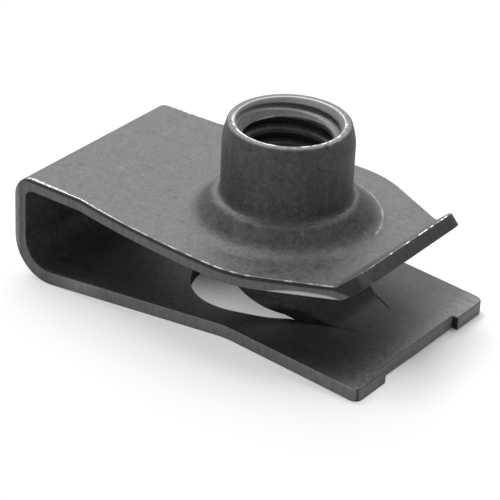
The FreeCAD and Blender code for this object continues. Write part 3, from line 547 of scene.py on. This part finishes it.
turned_part = (1.0 - radial.soft(7.9, 8.1)) * z.soft(SHEET, SHEET + 0.02)
lower_leaf = 1.0 - z.ramp(-4.0, -3.0)
lip_out = LIP_RUN * nx + LIP_RISE * nz
long_sides = size_of(ny).soft(0.6, 0.85) * (1.0 - turned_part)
lip_end = lip_out.soft(0.85, 0.95) * x.ramp(10.6, 10.9)
free_end = nx.soft(0.7, 0.9) * x.ramp(11.9, 12.1)
lanced = (1.0 - size_of(nz).soft(0.35, 0.6)) * (1.0 - z.ramp(-1.0, -0.3)) * x.ramp(-12.0, -11.0)
# The near side of the tongue, which gets painted shade where it lies under the upper leaf.
shaded_tongue_side = lanced * (0.0 - ny).soft(0.3, 0.7)
sheared = larger(long_sides, lip_end, free_end, lanced)

# Painted light on the outer cuts of the leaves.
lit_outer_cut = long_sides * larger(1.0 - lower_leaf, size_of(y).soft(7.2, 7.9))
# The near cut of the lower leaf, which is made bright bare metal as painted light.
lit_lower_cut = lit_outer_cut * lower_leaf * x.soft(-17.0, -13.0)
# The cut of the bend gets a painted highlight on its outer edge and painted shade on its inner part.
bend_cut = long_sides * (1.0 - x.soft(-18.9, -18.5))
shaded_inside_bend = x.soft(-19.35, -18.9)
# A painted shadow along the top of each long cut.
cut_top_shadow = long_sides * z.soft(0.68, 0.84)
print("nodes with the sheared faces", len(steel.node_tree.nodes))

# %% [markdown]
# The barrel has faint upright streaks from the drawing, and its mouth has a painted highlight of bright
# bare metal on one side. The flat top of the rim gets painted light. In the bore, painted light lies on
# the upper turns of the thread and a faint painted highlight on the crest of each turn, and painted shade
# in the bottoms of its grooves. A thin painted highlight runs round the right foot of the dome. All of
# these lie on circles, so their masks read the distance from the axis.

# %% Steel: barrel, bore and dome
MOUTH_HIGHLIGHT_SIDE = (0.58, -0.81)
FOOT_HIGHLIGHT_RADIUS = 7.35
FOOT_HIGHLIGHT_SIDE = (0.64, 0.77)

barrel = (1.0 - radial.soft(5.02, 5.3)) * z.soft(2.9, 3.4) * radial.soft(4.3, 4.4)
# The flat top of the rim, which gets painted light.
rim = z.soft(8.55, 8.75) * radial.soft(3.95, 4.05)
# A painted highlight of bright bare metal on one side of the mouth.
towards_mouth_highlight = (MOUTH_HIGHLIGHT_SIDE[0] * x + MOUTH_HIGHLIGHT_SIDE[1] * y) / larger(radial, 0.1)
mouth_highlight = z.soft(8.66, 8.72) * (1.0 - radial.soft(4.22, 4.34)) * towards_mouth_highlight.soft(-0.35, 0.2)

bore = (1.0 - radial.soft(4.15, 4.2)) * z.soft(1.9, 2.0)
# Painted light on the upper turns of the thread, painted shade in the bottoms of the grooves and a faint
# painted highlight on the crest of each turn.
lit_upper_bore = bore * z.soft(7.3, 8.5)
shaded_groove = bore * radial.soft(3.72, 3.88) * (1.0 - z.soft(8.1, 8.45))
crest_highlights = bore * (1.0 - radial.soft(3.45, 3.75)) * z.soft(3.5, 5.5)

# A thin painted highlight round the right foot of the dome.
along_foot_highlight_side = (FOOT_HIGHLIGHT_SIDE[0] * x + FOOT_HIGHLIGHT_SIDE[1] * y).soft(5.2, 6.4)
foot_highlight = (1.0 - size_of(radial - FOOT_HIGHLIGHT_RADIUS).soft(0.03, 0.13)) * along_foot_highlight_side
foot_highlight = foot_highlight * z.soft(SHEET, SHEET + 0.02)
print("nodes with the barrel", len(steel.node_tree.nodes))

# %% [markdown]
# Bright bare metal lies along the upper edge of the cut, strongest near the back bend, in a narrow band
# near the back bend, in a low crescent on the near cut under the dome, and along the end of the lip. Each
# is partly coat rubbed thin where the leaves touch other things and partly painted highlight. The lip
# slopes, so its masks turn the coordinates to that slope first. The lower leaf gets painted shade in its
# middle, under the upper leaf, and painted light towards its free end.

# %% Steel: the leaves and the lip
CRESCENT_CENTRE = 7.4
CRESCENT_HALF_LENGTH = 3.0
CRESCENT_HEIGHT = 0.40

on_leaf = (1.0 - turned_part) * z.ramp(0.9, 1.0) * (1.0 - x.ramp(9.0, 9.6))
# The upper edge of the cut gets bright bare metal, partly rubbed coat and partly painted highlight,
# strongest near the bend.
top_edge = (2.0 * size_of(ny) * nz).soft(0.3, 0.7) * on_leaf
bend_side = 1.0 - x.soft(-11.0, -6.0)
side_band = size_of(y).soft(8.22, 8.36) * (1.0 - x.soft(-16.0, -13.5))
side_rub_and_highlight = side_band * nz.soft(0.6, 0.9) * z.ramp(0.9, 1.0)

# A low crescent of bright bare metal on the near cut under the dome: partly the smooth lower zone of the
# cut and partly a painted highlight.
across = (x - CRESCENT_CENTRE) / CRESCENT_HALF_LENGTH
under_crescent = (CRESCENT_HEIGHT * (1.0 - across * across) - z).soft(-0.06, 0.14)
burnish_and_highlight = under_crescent * (0.0 - ny).soft(0.5, 0.8) * z.ramp(-0.5, -0.2)

# Painted light towards the free end of the lower leaf, and painted shade in its middle, under the upper
# leaf.
lit_lower_end = lower_leaf * x.soft(11.0, 12.9)
shaded_lower_middle = lower_leaf * x.soft(-2.0, 3.0) * (1.0 - x.soft(9.0, 12.5))

lip_points = [v.co for v in clip.data.vertices if v.co.z > 1.5 * MM]
lip_reach = max(LIP_RUN * p.x + LIP_RISE * p.z for p in lip_points) / MM
lip_up = LIP_RUN * nz - LIP_RISE * nx
# The end of the lip gets bright bare metal, partly rubbed and partly painted highlight.
lip_rub_and_highlight = (LIP_RUN * x + LIP_RISE * z).soft(lip_reach - 0.32, lip_reach - 0.16) * lip_up.soft(0.6, 0.9)
on_lip = x.ramp(10.9, 11.1) * z.ramp(1.2, 1.5)
lip_edge = larger((2.0 * lip_out * lip_up).soft(0.35, 0.8), 0.5 * lip_rub_and_highlight) * on_lip
print("reach of the lip along its own slope", round(lip_reach, 2))

# %% [markdown]
# Phosphate is a coat of fine crystals, cloudy from far off and speckled close up. Under it the sheet
# keeps faint lines from the rolling mill. Each of these is a noise of its own size. They are laid on the
# part's own coordinates, so they run on over every bend, and a noise that is stretched along one axis
# gives the lines.

# %% Steel: grain of the coat


def noise(vector, scale, detail=2.0, roughness=0.5):
    return look.node("ShaderNodeTexNoise", {
        "Vector": vector, "Scale": scale, "Detail": detail, "Roughness": roughness,
    })


def stretched(across_x, across_y, across_z):
    """Object coordinates in millimetres, scaled along each axis."""
    return look.node("ShaderNodeCombineXYZ", {"X": x * across_x, "Y": y * across_y, "Z": z * across_z})


clouds = noise(place, 240.0, 3.0)
mottle = noise(place, 1500.0, 3.0, 0.6).soft(0.25, 0.75)
fine = noise(place, 3600.0, 2.0, 0.7).soft(0.3, 0.7)
grain = noise(place, 6500.0, 2.0)
pits = 1.0 - noise(place, 1500.0, 2.0).soft(0.24, 0.31)
rolled = noise(stretched(0.12, 2.4, 0.4), 1.0, 4.0, 0.65)
drawn = noise(stretched(2.6, 2.6, 0.12), 1.0, 3.0, 0.6)
torn = noise(stretched(3.2, 3.2, 1.1), 1.0, 4.0, 0.7)
print("noises", sum(node.type == "TEX_NOISE" for node in steel.node_tree.nodes))

# %% [markdown]
# A clip that lay in a box with others has short light scratches, in patches and in two directions. Two
# stretched noises make the scratches, and a third, coarse one keeps them to the patches. The rubbed edges
# and the painted highlights aren't even either: they break up into beads and chips.

# %% Steel: scratches, wear and painted highlights
scuffs = noise(stretched(0.5, 5.0, 1.0), 1.0, 3.0, 0.7).soft(0.60, 0.74)
scrapes = noise(stretched(3.2, 0.5, 1.0), 1.0, 3.0, 0.7).soft(0.62, 0.76)
handled = noise(place, 330.0, 2.0).soft(0.5, 0.62)
scratches = larger(scuffs, scrapes) * handled
beads = noise(stretched(1.4, 1.4, 1.4), 1.0, 2.0).soft(0.42, 0.6)
chips = noise(stretched(1.8, 1.8, 1.8), 1.0, 2.0).soft(0.46, 0.6)

# Bright bare metal that is partly real wear and partly painted highlight, with painted light on the lower
# near cut.
wear_and_painted_light = larger(
    mouth_highlight * beads,
    top_edge * larger(bend_side, 0.15 + 0.45 * beads),
    lip_edge * chips,
    side_rub_and_highlight * (0.3 + 0.5 * chips),
    foot_highlight * 0.3 * (0.4 + 0.6 * beads),
    burnish_and_highlight * 0.85,
    lit_lower_cut * (0.10 + 0.40 * torn),
)
print("nodes with the wear", len(steel.node_tree.nodes))

# %% [markdown]
# The colour is a plain grey for the coat and another for the sheared faces, each lightened and darkened
# by the masks, many of which paint light and shade. Phosphate itself isn't a metal, but it is thin, so the
# metal below shows through in part. Only the rubbed places and the painted highlights are bare, light and
# smooth.

# %% Steel: colour, metal and roughness
COAT_GREY = 0.100
SCRATCH_GREY = 0.13
SHEARED_GREY = 0.105
WEAR_AND_LIGHT_GREY = 0.78
WEAR_AND_LIGHT_ROUGHNESS = 0.26

streaks = blend(barrel, 0.88 + 0.24 * rolled, 0.70 + 0.60 * drawn)
coat = COAT_GREY * (0.45 + 0.30 * clouds + 0.42 * mottle + 0.40 * fine) * streaks * (1.0 - 0.4 * pits)
coat = coat + SCRATCH_GREY * scratches * (1.0 - sheared)
# Painted light on the free end of the lower leaf and in the upper bore, painted shade in the middle of the
# lower leaf, and a faint painted highlight on the thread.
coat = coat * (1.0 + 0.6 * lit_lower_end - 0.5 * shaded_lower_middle) + 0.32 * lit_upper_bore + 0.05 * crest_highlights
# Painted shade in the bottoms of the grooves.
coat = coat * (1.0 - 0.6 * shaded_groove)

# The near side of the tongue is darkened as painted shade.
bare = SHEARED_GREY * (0.35 + 1.3 * torn) * (1.0 - 0.75 * shaded_tongue_side)
# Painted light on the free end of the lower leaf and on the outer cuts; the end of the lip is made a
# little darker.
bare = bare * (1.0 + 1.7 * free_end - 0.3 * lip_end) * (1.0 + 0.75 * lit_outer_cut)
# Painted highlight and shade on the bend's cut, and a painted shadow along the top of the long cuts.
bare = bare * (1.0 + bend_cut * blend(shaded_inside_bend, 0.8, -0.3)) * (1.0 - 0.8 * cut_top_shadow)

tone = blend(sheared, coat, bare)
# Painted light on the top of the rim, then bright bare metal where the coat is rubbed and where highlights
# are painted.
tone = blend(wear_and_painted_light, blend(rim, tone, tone * 1.4), WEAR_AND_LIGHT_GREY)
metal = blend(wear_and_painted_light, 0.35, 0.95)
rough = blend(sheared, 0.39 + 0.14 * clouds + 0.10 * mottle, 0.40 + 0.2 * torn)
rough = blend(wear_and_painted_light, rough, WEAR_AND_LIGHT_ROUGHNESS)
print("nodes with the colours", len(steel.node_tree.nodes))

# %% [markdown]
# A little relief makes the grain catch the light. It is far too fine to model, so a Bump node turns it
# into normals. The forms that show in the outline are all in the mesh.

# %% Steel: relief and shader
RELIEF = 0.02 * MM

relief = blend(sheared, grain + 0.8 * fine + 0.6 * mottle - 0.3 * scratches, 2.2 * torn + 0.4 * grain)
relief = relief * (1.0 - 0.55 * lower_leaf)

shader = look.node("ShaderNodeBsdfPrincipled")
bsdf = shader.socket.node
colour = look.node("ShaderNodeCombineColor", {"Red": tone, "Green": tone, "Blue": tone * 1.01})
look.connect(colour, bsdf.inputs["Base Color"])
look.connect(metal, bsdf.inputs["Metallic"])
look.connect(rough, bsdf.inputs["Roughness"])
bump = look.node("ShaderNodeBump", {"Strength": 0.5, "Distance": RELIEF, "Height": relief})
look.connect(bump, bsdf.inputs["Normal"])
look.node("ShaderNodeOutputMaterial", {"Surface": shader})
print("nodes of the steel", len(steel.node_tree.nodes))

# %% [markdown]
# The clip rests on the lowest line of its bend, the heel, and on the free end of its lower leaf, the toe.
# The part can't be tilted, because its frame is a shared one, so the floor is
# tilted to it.

# %% Floor under the heel and the toe
FLOOR_REACH = 3.0
FLOOR_GAP = 0.005 * MM
ROUGH_SLOPE = 0.04

points = [v.co for v in clip.data.vertices]
heel = min(points, key=lambda p: p.z)
toe = min((p for p in points if p.x > 10 * MM), key=lambda p: p.z - ROUGH_SLOPE * p.x)
slope = math.atan2(toe.z - heel.z, toe.x - heel.x)
tilt = Matrix.Rotation(-slope, 4, "Y")
floor_mesh = bpy.data.meshes.new("floor")
corners = [(side_x * FLOOR_REACH, side_y * FLOOR_REACH, 0)
           for side_x, side_y in ((-1, -1), (1, -1), (1, 1), (-1, 1))]
floor_mesh.from_pydata(corners, [], [(0, 1, 2, 3)])
floor = bpy.data.objects.new("floor", floor_mesh)
bpy.context.collection.objects.link(floor)
floor.matrix_world = Matrix.Translation(heel - Vector((0, 0, FLOOR_GAP))) @ tilt
print("floor tilt", round(math.degrees(slope), 2))

# %% [markdown]
# The photograph is cut out on white, but a floor without any shadow would leave the clip floating. More
# light on the floor would wash out the clip too. So the floor is a plain matt grey to every ray but the
# camera's, which sees it paler and partly lit by itself. Away from the clip it turns nearly white, and
# next to it the shadow stays.

# %% Paint of the floor
FLOOR_GREY = 0.50
SEEN_LIFT = 0.42
HALF_WIDTH = 8.5
HALF_LENGTH = 16.3
CLIP_MIDDLE = 13.0  # from the heel, along the floor

paint = bpy.data.materials.new("floor_paint")
paint.use_nodes = True
paint.node_tree.nodes.clear()
paper = Tree(paint.node_tree)
shown = paper.node("ShaderNodeLightPath", output="Is Camera Ray")
level = FLOOR_GREY + SEEN_LIFT * shown
paper_colour = paper.node("ShaderNodeCombineColor", {"Red": level, "Green": level, "Blue": level})
matt = paper.node("ShaderNodeBsdfDiffuse", {"Color": paper_colour})
glow = paper.node("ShaderNodeEmission", {"Color": (1.0, 1.0, 1.0, 1.0), "Strength": 1.0})
over = paper.node("ShaderNodeSeparateXYZ", {0: paper.node("ShaderNodeTexCoord", output="Object")})
past_side = paper.math("ABSOLUTE", over.of("Y") / MM) - HALF_WIDTH
past_end = paper.math("ABSOLUTE", over.of("X") / MM - CLIP_MIDDLE) - HALF_LENGTH
outside = paper.math("MAXIMUM", past_side, past_end).soft(-1.0, 7.0)
lifted = paper.node("ShaderNodeMixShader", {0: shown * (0.05 + 0.50 * outside), 1: matt, 2: glow})
paper.node("ShaderNodeOutputMaterial", {"Surface": lifted})
floor_mesh.materials.append(paint)
print("nodes of the floor", len(paint.node_tree.nodes))

# %% [markdown]
# The world is the soft light that comes from everywhere in a studio. It is white where the camera sees
# it, and plain and low as a light, so that the lamps can shape the clip.

# %% World
AIR_LEVEL = 0.24

world = bpy.data.worlds.new("studio")
bpy.context.scene.world = world
world.use_nodes = True
world.node_tree.nodes.clear()
air = Tree(world.node_tree)
seen = air.node("ShaderNodeLightPath", output="Is Camera Ray")
strength = AIR_LEVEL + (1.0 - AIR_LEVEL) * seen
backdrop = air.node("ShaderNodeBackground", {"Color": (1.0, 1.0, 1.0, 1.0), "Strength": strength})
air.node("ShaderNodeOutputWorld", {"Surface": backdrop})
print("level of the air", AIR_LEVEL)

# %% [markdown]
# A small part is lit by large lamps close to it, which give soft shadows and long highlights. One hangs
# overhead, a wide one behind the clip is the window that lightens the upper leaf, a small one on the left
# draws the bright edges, and a weak one in front opens the shadows of the cuts. A table of places,
# widths, heights and powers, and one loop, keep them easy to compare.

# %% Lights
LAMPS = {
    "overhead": ((-0.08, 0.14, 0.45), 0.50, 0.44, 1.9),
    "window": ((-0.38, 0.40, 0.28), 0.76, 0.42, 2.15),
    "spark": ((-0.22, 0.02, 0.38), 0.12, 0.12, 0.45),
    "front": ((-0.10, -0.55, 0.22), 0.60, 0.30, 0.38),
}

for name, (stand, width, height, power) in LAMPS.items():
    light = bpy.data.lights.new(name, "AREA")
    light.shape = "RECTANGLE"
    light.size = width
    light.size_y = height
    light.energy = power
    lamp = bpy.data.objects.new(name, light)
    bpy.context.collection.objects.link(lamp)
    lamp.location = stand
    lamp.rotation_euler = (-Vector(stand)).to_track_quat("-Z", "Y").to_euler()
    print(name, "lamp of", power, "W at", round(Vector(stand).length, 2), "m")

# %% [markdown]
# A camera was fitted to the photograph: it is the one from which the edges of the solid fall on the edges
# in the picture. Its place, its aim, its small roll and its lens are used here, so that the render can be
# laid over the photograph.

# %% Camera
CAMERA_PLACE = Vector((92.228, -133.227, 89.841)) * MM
CAMERA_AIM = Vector((1.1893, -5.9665, 0.8651)) * MM
CAMERA_ROLL = math.radians(2.6026)

camera_data = bpy.data.cameras.new("camera")
camera_data.sensor_width = 36.0
camera_data.lens = 176.854
camera_data.clip_start = 0.01
camera_data.clip_end = 50.0
camera = bpy.data.objects.new("camera", camera_data)
bpy.context.collection.objects.link(camera)
level_view = (CAMERA_AIM - CAMERA_PLACE).to_track_quat("-Z", "Y").to_matrix().to_4x4()
camera.matrix_world = Matrix.Translation(CAMERA_PLACE) @ level_view @ Matrix.Rotation(CAMERA_ROLL, 4, "Z")
bpy.context.scene.camera = camera
bpy.context.scene.view_settings.view_transform = "Standard"
print("camera", round((CAMERA_AIM - CAMERA_PLACE).length / MM), "mm from its aim")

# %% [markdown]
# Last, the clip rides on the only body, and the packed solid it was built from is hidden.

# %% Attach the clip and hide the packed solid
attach(clip, "root")
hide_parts("u_clip")
